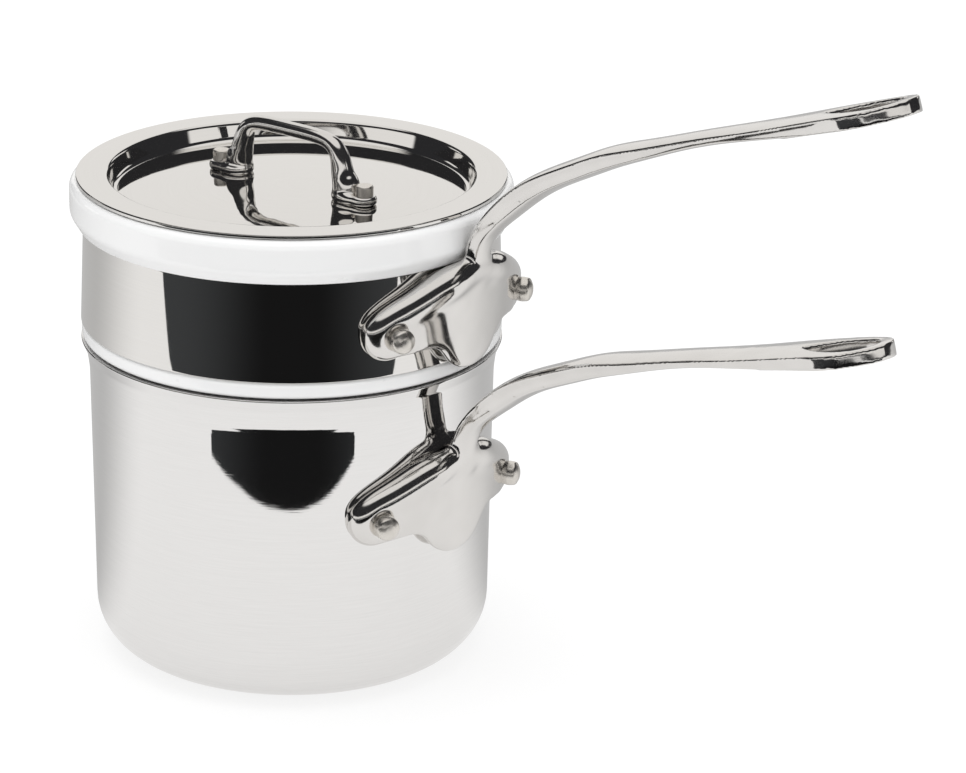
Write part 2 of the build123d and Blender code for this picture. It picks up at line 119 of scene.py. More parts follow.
def apply_modifier(piece, kind, **settings):
    """Add a modifier with its settings and turn it into mesh."""
    select_only(piece)
    modifier = piece.modifiers.new(kind.lower(), kind)
    for name, value in settings.items():
        setattr(modifier, name, value)
    bpy.ops.object.modifier_apply(modifier=modifier.name)


def triangles(piece):
    return sum(len(face.vertices) - 2 for face in piece.data.polygons)


# %% [markdown]
# Pan, insert, collar and lid are all round, as if turned on a lathe. The outline of half a
# section is written as a few corners, each with its rounding. A disc is then extruded from
# corner to corner and resized at each step, which is how a potter raises a wall. Polished
# metal shows every flaw, so the outline also gets a ring just before and after each
# rounding. Without those rings the shading of a rounding would leak over the whole wall.

# %% From corners to an outline
ARC_STEP = math.radians(8)
LEAST_ARC_STEPS = 4
GUARD = 0.25
SHORT_RUN = 4 * GUARD
WALL_STEP = 5.0


def rounded_outline(corners):
    """Points of an outline: corners are (radius, height, rounding), all in millimetres."""
    points = [Vector(corner[:2]) for corner in corners]
    outline = [points[0]]
    for before, here, after, corner in zip(points, points[1:], points[2:], corners[1:]):
        came, goes = (here - before).normalized(), (after - here).normalized()
        bend = came.angle_signed(goes)
        rounding = corner[2]
        if rounding == 0:
            outline.append(here)
            continue
        setback = rounding * math.tan(abs(bend) / 2)
        start = here - came * setback
        side = Vector((-came.y, came.x)) * (-1 if bend > 0 else 1)
        centre = start + side * rounding
        steps = max(LEAST_ARC_STEPS, math.ceil(abs(bend) / ARC_STEP))
        for step in range(steps + 1):
            turned = Matrix.Rotation(-bend * step / steps, 2)
            outline.append(centre + turned @ (start - centre))
    outline.append(points[-1])
    return outline


def with_guards(outline):
    """The same outline with rings beside its corners and along its long walls."""
    full = [outline[0]]
    for start, end in zip(outline, outline[1:]):
        run = (end - start).length
        if run > SHORT_RUN:
            inner_start = start.lerp(end, GUARD / run)
            inner_end = end.lerp(start, GUARD / run)
            count = max(1, math.ceil((run - 2 * GUARD) / WALL_STEP))
            full += [inner_start.lerp(inner_end, share / count) for share in range(count + 1)]
        full.append(end)
    return full


square_corner = [(9, 0, 0), (9, 9, 3), (0, 9, 0)]
print("a square corner of 3 mm becomes", len(rounded_outline(square_corner)), "points")

# %% Turning a piece from its outline
SIDES = 192
SEAM = 0.02 * MM
CREASE = math.radians(40)


def turn_piece(name, outline, closed_ring=False):
    """Raise a round piece ring by ring. A closed ring ends where it began, like a tube."""
    select_only(None)
    first = outline[0]
    bpy.ops.mesh.primitive_circle_add(
        vertices=SIDES,
        radius=first.x * MM,
        location=(0, 0, first.y * MM),
        fill_type="NOTHING" if closed_ring else "NGON",
    )
    piece = bpy.context.object
    piece.name = piece.data.name = name
    bpy.ops.object.transform_apply(location=True, rotation=True, scale=True)
    bpy.ops.object.mode_set(mode="EDIT")
    bpy.ops.mesh.select_all(action="SELECT")
    for last, ring in zip(outline, outline[1:]):
        rise = (ring.y - last.y) * MM
        bpy.ops.mesh.extrude_region_move(TRANSFORM_OT_translate={"value": (0, 0, rise)})
        grow = ring.x / last.x
        bpy.ops.transform.resize(value=(grow, grow, 1), center_override=(0, 0, ring.y * MM))
    if closed_ring:
        bpy.ops.mesh.select_all(action="SELECT")
        bpy.ops.mesh.remove_doubles(threshold=SEAM)
    else:
        mesh = bmesh.from_edit_mesh(piece.data)
        for face in mesh.faces:
            face.select_set(len(face.verts) == SIDES)
        bmesh.update_edit_mesh(piece.data)
        bpy.ops.mesh.poke()
    bpy.ops.mesh.select_all(action="SELECT")
    bpy.ops.mesh.normals_make_consistent(inside=False)
    bpy.ops.object.mode_set(mode="OBJECT")
    bpy.ops.object.shade_smooth_by_angle(angle=CREASE)
    print(name, triangles(piece), "triangles")
    return piece


# %% [markdown]
# The pan is one pressed sheet. Its wall leans out a hair, and just under the rim it opens a
# little more before the pouring flare. That slow bend of the wall is hardly seen in the shape,
# but a polished wall shows it at once: a reflection that reaches it stops in a clean line.

# %% Pan
POT_FOOT, POT_LIP = 58.8, 62.4
POT_HEIGHT, POT_WALL = 97.4, 2.6
POT_BREAK, BREAK_RADIUS, BREAK_ROUNDING = 88.1, 59.9, 38.0
POT_FLARE, FLARE_RADIUS, FLARE_ROUNDING = 93.6, 60.72, 4.0
FLARE_INSIDE = 57.5
FOOT_ROUNDING, LIP_ROUNDING = 16.0, 0.35
CENTRE = 1.0

pot_body = turn_piece("pan_body", with_guards(rounded_outline([
    (CENTRE, 0, 0),
    (POT_FOOT, 0, FOOT_ROUNDING),
    (BREAK_RADIUS, POT_BREAK, BREAK_ROUNDING),
    (FLARE_RADIUS, POT_FLARE, FLARE_ROUNDING),
    (POT_LIP, POT_HEIGHT, LIP_ROUNDING),
    (POT_LIP - POT_WALL, POT_HEIGHT, LIP_ROUNDING),
    (FLARE_INSIDE, POT_FLARE, 5.0),
    (POT_FOOT - POT_WALL, POT_WALL, FOOT_ROUNDING - POT_WALL),
    (CENTRE, POT_WALL, 0),
])))
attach(pot_body, "pan")
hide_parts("pot_body")

# %% [markdown]
# The insert is thick glazed porcelain. From below it has a rounded foot, a neck that centres
# it in the pan, a bead that rests on the pan's rim, a band for the collar, and a rolled rim
# on which the lid sits. Glaze flows before it hardens, so each edge is generously rounded.

# %% Porcelain insert
INSERT_FOOT, INSERT_RADIUS, INSERT_WALL = 28.0, 52.5, 4.3
BOTTOM_ROUNDING = 14.0
SHOULDER_FOOT, SHOULDER_TOP = 81.7, 89.7
NECK_RADIUS, BEAD_RADIUS = 56.4, 62.0
BEAD_FOOT, BEAD_TOP = 97.7, 102.7
BAND_RADIUS, BAND_TOP_RADIUS = 61.1, 60.0
GROOVE_RADIUS, GROOVE_FOOT, GROOVE_TOP = 57.1, 105.8, 129.0
COLLAR_TOP, RIM_FOOT, RIM_TOP = 132.0, 132.1, 145.3
RIM_UNDER_RADIUS, RIM_SWELL = 62.5, 136.1
RIM_RADIUS, MOUTH_RADIUS, THROAT_RADIUS = 64.9, 55.9, 51.6
LEDGE_TOP, LEDGE_FOOT = 136.3, 132.3

insert = turn_piece("insert_porcelain", with_guards(rounded_outline([
    (CENTRE, INSERT_FOOT, 0),
    (INSERT_RADIUS, INSERT_FOOT, BOTTOM_ROUNDING),
    (INSERT_RADIUS, SHOULDER_FOOT, 8.0),
    (NECK_RADIUS, SHOULDER_TOP, 4.0),
    (NECK_RADIUS, BEAD_FOOT, 0.6),
    (BEAD_RADIUS, BEAD_FOOT, 1.9),
    (BEAD_RADIUS, BEAD_TOP, 1.2),
    (BAND_RADIUS, BEAD_TOP, 0),
    (BAND_RADIUS - 0.1, GROOVE_FOOT, 0),
    (GROOVE_RADIUS, GROOVE_FOOT, 0.8),
    (GROOVE_RADIUS, GROOVE_TOP, 0.8),
    (BAND_TOP_RADIUS, GROOVE_TOP, 0),
    (BAND_TOP_RADIUS, RIM_FOOT, 0.2),
    (RIM_UNDER_RADIUS, RIM_FOOT, 1.2),
    (RIM_RADIUS, RIM_SWELL, 3.6),
    (RIM_RADIUS, RIM_TOP, 2.6),
    (MOUTH_RADIUS, RIM_TOP, 2.4),
    (MOUTH_RADIUS, LEDGE_TOP, 1.5),
    (THROAT_RADIUS, LEDGE_FOOT, 3.0),
    (INSERT_RADIUS - INSERT_WALL, INSERT_FOOT + INSERT_WALL, BOTTOM_ROUNDING - INSERT_WALL),
    (CENTRE, INSERT_FOOT + INSERT_WALL, 0),
])))
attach(insert, "upper_vessel")
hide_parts("porcelain_insert")

# %% [markdown]
# The collar is a thin polished band that grips the insert. It is a tube and not a cup, so its
# outline closes on itself, and the ring of its start and end is merged.

# %% Steel collar
COLLAR_FOOT, COLLAR_WALL = 102.8, 1.0
COLLAR_LOW_RADIUS, COLLAR_HIGH_RADIUS, COLLAR_EDGE = 62.2, 61.1, 0.25
collar = turn_piece("collar_band", with_guards(rounded_outline([
    (COLLAR_LOW_RADIUS - 0.3, COLLAR_FOOT, 0),
    (COLLAR_LOW_RADIUS, COLLAR_FOOT, COLLAR_EDGE),
    (COLLAR_HIGH_RADIUS, COLLAR_TOP, COLLAR_EDGE),
    (COLLAR_HIGH_RADIUS - 0.2, COLLAR_TOP, 0),
    (COLLAR_HIGH_RADIUS - COLLAR_WALL, COLLAR_TOP, 0),
    (COLLAR_LOW_RADIUS - COLLAR_WALL, COLLAR_FOOT, 0),
    (COLLAR_LOW_RADIUS - 0.3, COLLAR_FOOT, 0),
])), closed_ring=True)
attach(collar, "upper_vessel")
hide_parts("collar")

# %% [markdown]
# The lid is a thin pressing: a flat flange, a steep well and a floor that rises very slightly
# to its middle. The rise matters, because a flat floor would mirror the sky as one tone. The
# dome is a shallow parabola, given as a few extra corners of the outline.

# %% Lid
LID_RADIUS, LID_WALL, LID_EDGE = 63.0, 1.2, 0.45
FLANGE_UNDER, FLANGE_TOP = 145.6, 146.8
WELL_RADIUS, FLOOR_RADIUS = 53.9, 52.3
FLOOR_EDGE, FLOOR_DOME = 140.9, 1.6
DOME_STEP, DOME_STEPS = 4.0, 12


def dome(radius, reach, edge_height):
    """Height of the floor's dome at a radius."""
    return edge_height + FLOOR_DOME * (1 - (radius / reach) ** 2)


under = FLOOR_EDGE - LID_WALL
inner_steps = [CENTRE] + [DOME_STEP * step for step in range(1, DOME_STEPS + 1)]
lid = turn_piece("lid_pressing", with_guards(rounded_outline(
    [(r, dome(r, FLOOR_RADIUS + LID_WALL, under), 0) for r in inner_steps]
    + [
        (FLOOR_RADIUS + LID_WALL, under, 2.4),
        (WELL_RADIUS + LID_WALL, FLANGE_UNDER, 0.5),
        (LID_RADIUS, FLANGE_UNDER, 0.3),
        (LID_RADIUS, FLANGE_TOP, LID_EDGE),
        (WELL_RADIUS, FLANGE_TOP, 1.2),
        (FLOOR_RADIUS, FLOOR_EDGE, 1.8),
    ]
    + [(r, dome(r, FLOOR_RADIUS, FLOOR_EDGE), 0) for r in reversed(inner_steps)]
)))
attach(lid, "cover")
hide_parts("lid")

# %% [markdown]
# Handles and bail are castings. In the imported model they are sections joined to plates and
# pads, with sharp seams where these meet. A real casting is ground and polished until the
# seams melt together. A copy of the casting is merged, given an even skin of small faces,
# and smoothed, which rounds each seam by about as much as a polishing wheel does. The stems
# get more of it than the paddles at their ends, and the webs at the pan's wall the most.

# %% Polished castings
SKIN = 0.39 * MM
MERGED = 0.001 * MM
SOFTENING = 0.5
SKIN_PASSES, STEM_PASSES, ROOT_PASSES = 14, 30, 80
STEM_REACH, ROOT_REACH, REACH_FADE = 158.0 * MM, 80.0 * MM, 10.0 * MM


def smooth_within(piece, reach, passes):
    """Smooth only what lies within a distance of the axis, fading in over a centimetre."""
    group = piece.vertex_groups.new(name="within")
    for vertex in piece.data.vertices:
        share = min(1.0, (reach - vertex.co.xy.length) / REACH_FADE)
        if share > 0:
            group.add([vertex.index], share, "REPLACE")
    apply_modifier(piece, "SMOOTH", factor=SOFTENING, iterations=passes, vertex_group="within")
    piece.vertex_groups.clear()


def polished_casting(name, node, skin, passes):
    """A copy of a packed casting with an even, smoothed skin."""
    copy = bpy.data.objects.new(name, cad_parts[node].data.copy())
    bpy.context.scene.collection.objects.link(copy)
    select_only(copy)
    bpy.ops.object.mode_set(mode="EDIT")
    bpy.ops.mesh.select_all(action="SELECT")
    bpy.ops.mesh.remove_doubles(threshold=MERGED)
    bpy.ops.object.mode_set(mode="OBJECT")
    apply_modifier(copy, "REMESH", mode="VOXEL", voxel_size=skin, adaptivity=0)
    apply_modifier(copy, "SMOOTH", factor=SOFTENING, iterations=passes)
    select_only(copy)
    bpy.ops.object.shade_smooth()
    copy.data.name = name
    print(name, triangles(copy), "triangles")
    return copy


pan_handle = polished_casting("pan_handle_casting", "pot_handle", SKIN, SKIN_PASSES)
smooth_within(pan_handle, STEM_REACH, STEM_PASSES)
smooth_within(pan_handle, ROOT_REACH, ROOT_PASSES)
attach(pan_handle, "pan")
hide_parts("pot_handle")

collar_handle = polished_casting("collar_handle_casting", "collar_handle", SKIN, SKIN_PASSES)
smooth_within(collar_handle, STEM_REACH, STEM_PASSES)
smooth_within(collar_handle, ROOT_REACH, ROOT_PASSES)
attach(collar_handle, "upper_vessel")
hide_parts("collar_handle")

# %% [markdown]
# The legs of the lid's bail swell towards their lugs. Each point of the bail gets a weight,
# largest at the foot of a leg, and is pushed out along its normal by that share.

# %% Bail of the lid
BAIL_SKIN = 0.2 * MM
FIRST_PASSES, LAST_PASSES = 30, 110
BAIL_FOOT, BAIL_CROWN = 144.0 * MM, 160.0 * MM
LEG_INSIDE, LEG_OUTSIDE = 17.0 * MM, 24.6 * MM
SWELL = 0.85 * MM
BAR_SHARE, TAPER_SHARE = 0.35, 0.65

bail = polished_casting("lid_bail_casting", "lid_handle", BAIL_SKIN, FIRST_PASSES)
legs = bail.vertex_groups.new(name="legs")
for vertex in bail.data.vertices:
    rise = (vertex.co.z - BAIL_FOOT) / (BAIL_CROWN - BAIL_FOOT)
    on_leg = LEG_INSIDE < abs(vertex.co.x) < LEG_OUTSIDE
    legs.add([vertex.index], (1.0 - TAPER_SHARE * rise) if on_leg else BAR_SHARE, "REPLACE")
apply_modifier(bail, "DISPLACE", strength=SWELL, mid_level=0.0, vertex_group="legs")
bail.vertex_groups.clear()
apply_modifier(bail, "SMOOTH", factor=SOFTENING, iterations=LAST_PASSES)
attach(bail, "cover")
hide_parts("lid_handle")

# %% [markdown]
# A rivet is turned like the pan, only small. It is modelled once, standing on the origin with
# its shoulder at height zero, and copied to each hole. Each copy gets its own mesh, is turned
# to point outwards, and its place is then applied to the mesh.

# %% Handle rivets
RIVET_ANGLE = 25.2
PAD_FACE = 5.6
COLLAR_TURN = 2.8
PAN_SEAT, PAN_RIVET_HEIGHT = 59.56, 59.0
COLLAR_SEAT, COLLAR_RIVET_HEIGHT = 61.72, 115.5
PIN, SHANK, SHANK_FOOT, SHANK_TOP = 0.3, 2.5, -7.6, -0.4

rivet_model = turn_piece("rivet_model", rounded_outline([
    (PIN, -9.2, 0),
    (4.3, -8.8, 0.4),
    (4.6, SHANK_FOOT, 0),
    (SHANK, SHANK_FOOT, 0),
    (SHANK, SHANK_TOP, 0),
    (3.3, SHANK_TOP, 0),
    (3.65, 1.5, 2.5),
    (3.45, 3.7, 1.3),
    (1.6, 4.6, 2.5),
    (PIN, 4.75, 0),
]))


def placed_copy(model, name, turn_and_move):
    """A copy with its own mesh, its place already in the mesh."""
    copy = bpy.data.objects.new(name, model.data.copy())
    bpy.context.scene.collection.objects.link(copy)
    copy.matrix_world = turn_and_move
    select_only(copy)
    bpy.ops.object.transform_apply(location=True, rotation=True, scale=True)
    copy.data.name = name
    return copy


def outward_place(angle, reach, height):
    """Turns the rivet's axis to a direction round the pan and moves it out to its pad."""
    raised = Matrix.Translation((0, 0, height * MM))
    around = Matrix.Rotation(math.radians(angle), 4, "Z")
    outwards = Matrix.Translation((reach * MM, 0, 0))
    lie_down = Matrix.Rotation(math.radians(90), 4, "Y")
    return raised @ around @ outwards @ lie_down


rivets = []
for prefix, node, body, seat, height, swing in (
    ("pan", "pot_handle_rivet", "pan", PAN_SEAT, PAN_RIVET_HEIGHT, 0.0),
    ("collar", "collar_handle_rivet", "upper_vessel", COLLAR_SEAT, COLLAR_RIVET_HEIGHT, COLLAR_TURN),
):
    for side, sign in (("left", -1), ("right", 1)):
        place = outward_place(swing + sign * RIVET_ANGLE, seat + PAD_FACE, height)
        rivet = placed_copy(rivet_model, f"{prefix}_rivet_{side}", place)
        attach(rivet, body)
        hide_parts(f"{node}_{side}")
        rivets.append(rivet)
bpy.data.objects.remove(rivet_model)
print(len(rivets), "handle rivets")

# %% Lid rivets
LUG_TOP = 144.7
LID_RIVET_SPAN = 27.7
LID_SHANK, LID_SHANK_FOOT, LID_TAIL = 1.9, -4.2, -5.4
LID_HEAD, LID_HEAD_TOP = 2.6, 3.1
lid_rivet_model = turn_piece("lid_rivet_model", rounded_outline([
    (PIN, LID_TAIL, 0),
    (2.3, LID_TAIL, 0.4),
    (LID_HEAD, LID_SHANK_FOOT, 0),
    (LID_SHANK, LID_SHANK_FOOT, 0),
    (LID_SHANK, 0.0, 0),
    (LID_HEAD, 0.0, 0),
    (LID_HEAD, LID_HEAD_TOP, 0.6),
    (PIN, LID_HEAD_TOP, 0),
]))
for side, sign in (("left", -1), ("right", 1)):
    place = Matrix.Translation((sign * LID_RIVET_SPAN * MM, 0, LUG_TOP * MM))
    rivet = placed_copy(lid_rivet_model, f"lid_rivet_{side}", place)
    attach(rivet, "cover")
    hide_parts(f"lid_handle_rivet_{side}")
    rivets.append(rivet)
bpy.data.objects.remove(lid_rivet_model)
print(len(rivets), "rivets in all")

# %% [markdown]
# A finish is more than a colour. What makes steel read as steel is how sharp its reflections
# are and how they waver. Three effects are shared by several finishes, so each is a node
# group with named sockets: fine lines left by turning, the slow waves of hand polishing, and
# faint smears. A group only hands out numbers, and each material decides what they feed.

# %% Helpers for node trees
def add_node(tree, kind, settings=None, **inputs):
    """Add a node, set its options and give its inputs values or links."""
    node = tree.nodes.new(kind)
    for name, value in (settings or {}).items():
        setattr(node, name, value)
    for name, value in inputs.items():
        key = int(name[1:]) if name[0] == "_" else name.replace("_", " ")
        socket = node.inputs[key]
        if isinstance(value, bpy.types.NodeSocket):
            tree.links.new(value, socket)
        else:
            socket.default_value = value
    return node


def vector_math(tree, operation, **inputs):
    """A vector calculation."""
    return add_node(tree, "ShaderNodeVectorMath", {"operation": operation}, **inputs)


def number_math(tree, operation, first, second=0.5):
    """The result of a calculation with one or two numbers."""
    return add_node(tree, "ShaderNodeMath", {"operation": operation}, _0=first, _1=second).outputs[0]


def larger(tree, first, second):
    return number_math(tree, "MAXIMUM", first, second)


def as_camera_sees(tree, source):
    """A direction's parts to the right, away from the camera and up."""
    turned = add_node(
        tree, "ShaderNodeMapping", {"vector_type": "POINT"}, Vector=source, Rotation=(0, 0, -CAMERA_TURN)
    )
    aimed = vector_math(tree, "NORMALIZE", _0=turned.outputs[0])
    return add_node(tree, "ShaderNodeSeparateXYZ", _0=aimed.outputs[0]).outputs


def smooth_range(tree, value, low, high, start=0.0, end=1.0):
    """Start below low, end above high, with a soft step between."""
    return add_node(
        tree, "ShaderNodeMapRange", {"interpolation_type": "SMOOTHSTEP"},
        Value=value, From_Min=low, From_Max=high, To_Min=start, To_Max=end,
    ).outputs[0]


def new_group(name, inputs, outputs):
    """An empty node group with named number sockets."""
    group = bpy.data.node_groups.new(name, "ShaderNodeTree")
    for label, value in inputs.items():
        socket = group.interface.new_socket(label, in_out="INPUT", socket_type="NodeSocketFloat")
        socket.default_value = value
    for label in outputs:
        group.interface.new_socket(label, in_out="OUTPUT", socket_type="NodeSocketFloat")
    return group, group.nodes.new("NodeGroupInput"), group.nodes.new("NodeGroupOutput")


# %% Turned lines
# The pattern is read by direction round the axis, radius and height, so the lines run round
# walls and floors alike and have no seam.
turned_lines, given, handed = new_group("turned_lines", {"Fineness": 3000.0, "Drift": 3.0}, ["Lines"])
fineness, drift = given.outputs["Fineness"], given.outputs["Drift"]
place = add_node(turned_lines, "ShaderNodeTexCoord").outputs["Object"]
parts = add_node(turned_lines, "ShaderNodeSeparateXYZ", _0=place).outputs
flat = add_node(turned_lines, "ShaderNodeCombineXYZ", X=parts[0], Y=parts[1]).outputs[0]
reach = vector_math(turned_lines, "LENGTH", _0=flat).outputs["Value"]
around = vector_math(turned_lines, "NORMALIZE", _0=flat).outputs[0]
drifted = vector_math(turned_lines, "SCALE", _0=around, Scale=drift).outputs[0]
drift_parts = add_node(turned_lines, "ShaderNodeSeparateXYZ", _0=drifted).outputs
tall = number_math(turned_lines, "MULTIPLY", parts[2], fineness)
wide = number_math(turned_lines, "MULTIPLY", reach, fineness)
laid = add_node(turned_lines, "ShaderNodeCombineXYZ", X=drift_parts[0], Y=drift_parts[1], Z=tall)
lines = add_node(
    turned_lines, "ShaderNodeTexNoise", {"noise_dimensions": "4D"},
    Vector=laid.outputs[0], W=wide, Scale=1.0, Detail=2.0, Roughness=0.6,
)
turned_lines.links.new(lines.outputs[0], handed.inputs["Lines"])

# %% Polishing waves and smears
polish_waves, given, handed = new_group("polish_waves", {"Scale": 80.0}, ["Waves"])
place = add_node(polish_waves, "ShaderNodeTexCoord").outputs["Object"]
waves = add_node(
    polish_waves, "ShaderNodeTexNoise",
    Vector=place, Scale=given.outputs["Scale"], Detail=1.5, Roughness=0.4,
)
polish_waves.links.new(waves.outputs[0], handed.inputs["Waves"])

smears, given, handed = new_group("smears", {"Scale": 30.0, "Low": 0.0, "High": 1.0}, ["Smear"])
place = add_node(smears, "ShaderNodeTexCoord").outputs["Object"]
cloud = add_node(
    smears, "ShaderNodeTexNoise",
    Vector=place, Scale=given.outputs["Scale"], Detail=6.0, Roughness=0.65, Distortion=0.4,
)
smear = add_node(
    smears, "ShaderNodeMapRange", Value=cloud.outputs[0], From_Min=0.3, From_Max=0.7,
    To_Min=given.outputs["Low"], To_Max=given.outputs["High"],
)
smears.links.new(smear.outputs[0], handed.inputs["Smear"])
print("node groups", [group.name for group in bpy.data.node_groups])

# %% Putting a group into a material
def use_group(tree, group, **values):
    """Place a shared effect in a material with its own values and return its number."""
    node = tree.nodes.new("ShaderNodeGroup")
    node.node_tree = group
    for name, value in values.items():
        node.inputs[name].default_value = value
    return node.outputs[0]


def start_material(name):
    """A material with nothing but a Principled shader and its output."""
    material = bpy.data.materials.new(name)
    material.use_nodes = True
    tree = material.node_tree
    tree.nodes.clear()
    shader = tree.nodes.new("ShaderNodeBsdfPrincipled")
    output = tree.nodes.new("ShaderNodeOutputMaterial")
    tree.links.new(shader.outputs[0], output.inputs[0])
    return material, tree, shader


def tone_between(tree, amount, first, second):
    """A colour that goes from the first tone to the second as the amount goes from 0 to 1."""
    mix = add_node(tree, "ShaderNodeMix", {"data_type": "RGBA"}, _0=amount)
    mix.inputs["A"].default_value = (*first, 1)
    mix.inputs["B"].default_value = (*second, 1)
    return mix.outputs["Result"]


def grey(value):
    return (value, value, value, 1)


def bumped(tree, height, depth, before=None):
    """A surface normal raised by a height of 0 to 1 times a depth in metres."""
    bump = add_node(tree, "ShaderNodeBump", Height=height, Distance=depth, Strength=1.0)
    if before:
        tree.links.new(before, bump.inputs["Normal"])
    return bump.outputs[0]


def feed(tree, shader, tone, roughness, normal):
    """Link a tone, a roughness and a surface normal to the shader."""
    tree.links.new(tone, shader.inputs["Base Color"])
    tree.links.new(roughness, shader.inputs["Roughness"])
    tree.links.new(normal, shader.inputs["Normal"])


def wear(piece, material):
    """Give a piece its material in every slot."""
    piece.data.materials.clear()
    piece.data.materials.append(material)


# %% [markdown]
# The pan's steel is bright but not quite a mirror. Turning left fine level lines, so what it
# mirrors has frayed edges, and its smears make the roughness wander a little.

# %% Satin steel of the pan
satin_steel, tree, shader = start_material("satin_steel")
shader.inputs["Metallic"].default_value = 1.0
pan_lines = use_group(tree, turned_lines, Fineness=2600.0, Drift=5.0)
pan_smear = use_group(tree, smears, Scale=22.0, Low=0.02, High=0.045)
pan_tone = tone_between(tree, pan_lines, (0.795, 0.788, 0.78), (0.855, 0.848, 0.84))
PAN_LINE_DEPTH = 0.002 * MM
feed(tree, shader, pan_tone, pan_smear, bumped(tree, pan_lines, PAN_LINE_DEPTH))
wear(pot_body, satin_steel)

# %% [markdown]
# Collar and lid are buffed until they mirror the room. Only long slow waves and very faint
# turning lines remain.

# %% Mirror steel of the collar and the lid
mirror_steel, tree, shader = start_material("mirror_steel")
shader.inputs["Metallic"].default_value = 1.0
buffed = use_group(tree, turned_lines, Fineness=3400.0, Drift=2.0)
slow = use_group(tree, polish_waves, Scale=26.0)
buffed_smear = use_group(tree, smears, Scale=30.0, Low=0.02, High=0.05)
buffed_tone = tone_between(tree, buffed, (0.78, 0.765, 0.745), (0.83, 0.82, 0.80))
WAVE_DEPTH, BUFFED_DEPTH = 0.03 * MM, 0.0002 * MM
waved = bumped(tree, slow, WAVE_DEPTH)
feed(tree, shader, buffed_tone, buffed_smear, bumped(tree, buffed, BUFFED_DEPTH, waved))
wear(collar, mirror_steel)
wear(lid, mirror_steel)

# %% [markdown]
# The castings are ground by hand on a belt and then polished. Their surface swells and dips
# over a few millimetres, and that is what breaks reflections into long streaks.

# %% Cast steel of the handles and the bail
cast_steel, tree, shader = start_material("cast_steel")
shader.inputs["Metallic"].default_value = 1.0
belt = use_group(tree, polish_waves, Scale=120.0)
belt_smear = use_group(tree, smears, Scale=90.0, Low=0.07, High=0.14)
belt_tone = tone_between(tree, belt, (0.71, 0.695, 0.675), (0.79, 0.775, 0.757))
BELT_DEPTH = 0.06 * MM
feed(tree, shader, belt_tone, belt_smear, bumped(tree, belt, BELT_DEPTH))
for casting in (pan_handle, collar_handle, bail):
    wear(casting, cast_steel)

# %% [markdown]
# The rivets are hammered and left duller and warmer than the handles.

# %% Rivet steel
rivet_steel, tree, shader = start_material("rivet_steel")
shader.inputs["Metallic"].default_value = 1.0
hammered = use_group(tree, polish_waves, Scale=300.0)
hammered_smear = use_group(tree, smears, Scale=500.0, Low=0.24, High=0.36)
hammered_tone = tone_between(tree, hammered, (0.68, 0.65, 0.6), (0.82, 0.79, 0.75))
HAMMER_DEPTH = 0.04 * MM
feed(tree, shader, hammered_tone, hammered_smear, bumped(tree, hammered, HAMMER_DEPTH))
for rivet in rivets:
    wear(rivet, rivet_steel)

# %% [markdown]
# Porcelain is a white body under a clear glaze. The body scatters light softly, and the glaze
# is the Principled shader's coat: thin, sharp and very slightly uneven where it ran.

# %% Glazed porcelain
white_porcelain, tree, shader = start_material("white_porcelain")
shader.inputs["Metallic"].default_value = 0.0
shader.inputs["IOR"].default_value = 1.5
shader.inputs["Coat Weight"].default_value = 0.8
shader.inputs["Coat Roughness"].default_value = 0.03
cloudy = use_group(tree, smears, Scale=14.0, Low=0.0, High=1.0)
body_tone = tone_between(tree, cloudy, (0.905, 0.907, 0.909), (0.925, 0.925, 0.922))
body_smear = use_group(tree, smears, Scale=60.0, Low=0.25, High=0.4)
glaze_waves = use_group(tree, polish_waves, Scale=55.0)
GLAZE_DEPTH = 0.02 * MM
feed(tree, shader, body_tone, body_smear, bumped(tree, glaze_waves, GLAZE_DEPTH))
wear(insert, white_porcelain)

# %% [markdown]
# Polished metal is a picture of its surroundings, so the studio matters as much as the steel.
# The pan stands on a white table. In front of the table's edge the room is dark, and that
# edge draws the rounded dark patch on the pan and the dark field of the collar. To the camera
# the table is a plain floor. In reflections it glows with painted light that fades away from
# the camera. The dark floor beyond it is a black card that only reflections see: a sheet of
# painted shade that stands in for the unlit room.

# %% Table
TABLE_SIZE, TABLE_DROP = 8.0, 0.3 * MM
LIT_GREY, DULL_GREY, PLAIN_GREY = 0.3, 0.22, 0.85
TABLE_GLOW = 0.74
FADE_FROM, FADE_TO, NEAR_SHEEN, FAR_SHEEN = -0.15, 0.65, 0.69, 0.28
SHEEN_TINT = (1, 0.99, 0.98, 1)
select_only(None)
bpy.ops.mesh.primitive_plane_add(size=TABLE_SIZE, location=(0, 0, -TABLE_DROP))
table = bpy.context.object
table.name = "table"
table_white = bpy.data.materials.new("table_white")
table_white.use_nodes = True
tree = table_white.node_tree
tree.nodes.clear()
path = tree.nodes.new("ShaderNodeLightPath")
lit = add_node(tree, "ShaderNodeBsdfDiffuse", Color=grey(LIT_GREY))
glow = add_node(tree, "ShaderNodeEmission", Color=grey(1), Strength=TABLE_GLOW)
seen = add_node(tree, "ShaderNodeAddShader", _0=lit.outputs[0], _1=glow.outputs[0])
# Seen in reflections the table glows with painted light. It is brightest near the camera and fades away
# from it, a painted falloff of the room's light.
spot = add_node(tree, "ShaderNodeTexCoord").outputs["Object"]
away = as_camera_sees(tree, spot)[1]
painted_falloff = smooth_range(tree, away, FADE_FROM, FADE_TO, NEAR_SHEEN, FAR_SHEEN)
dull = add_node(tree, "ShaderNodeBsdfDiffuse", Color=grey(DULL_GREY))
sheen = add_node(tree, "ShaderNodeEmission", Color=SHEEN_TINT, Strength=painted_falloff)
reflected = add_node(tree, "ShaderNodeAddShader", _0=dull.outputs[0], _1=sheen.outputs[0])
plain = add_node(tree, "ShaderNodeBsdfDiffuse", Color=grey(PLAIN_GREY))
direct = larger(tree, path.outputs["Is Camera Ray"], path.outputs["Is Transmission Ray"])
by_eye = add_node(tree, "ShaderNodeMixShader", _0=direct, _1=plain.outputs[0], _2=seen.outputs[0])
